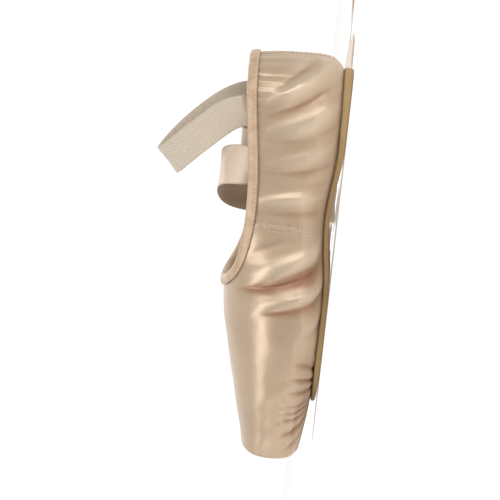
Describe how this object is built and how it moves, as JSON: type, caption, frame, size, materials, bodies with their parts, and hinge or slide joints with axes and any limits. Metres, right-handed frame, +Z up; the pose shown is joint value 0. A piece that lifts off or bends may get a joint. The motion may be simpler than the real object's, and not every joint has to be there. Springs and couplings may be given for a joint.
{
  "type": "pointe shoe",
  "caption": "Satin pointe shoe with a hollow boxed toe, low quarters, a thin leather outsole, a collar casing, an elastic over the ankle and sewn ribbons.",
  "frame": {"origin": "on the floor, in the middle of the shoe's length and width, without the ribbons", "axes": "+X towards the toe, +Y to the shoe's left side, +Z up"},
  "size_m": [0.2304, 0.4033, 0.105],
  "materials": {
    "satin": "peach satin, glossy along its folds",
    "sole_leather": "matt split leather",
    "insole_cloth": "plain cloth",
    "binding_satin": "folded satin tape",
    "elastic_webbing": "matt ribbed elastic",
    "ribbon_satin": "soft satin ribbon"
  },
  "bodies": {
    "root": {"upper": "satin", "outsole": "sole_leather", "insole": "insole_cloth", "collar_binding": "binding_satin", "heel_elastic": "elastic_webbing", "ribbon_left": "ribbon_satin", "ribbon_right": "ribbon_satin"}
  },
  "joints": []
}
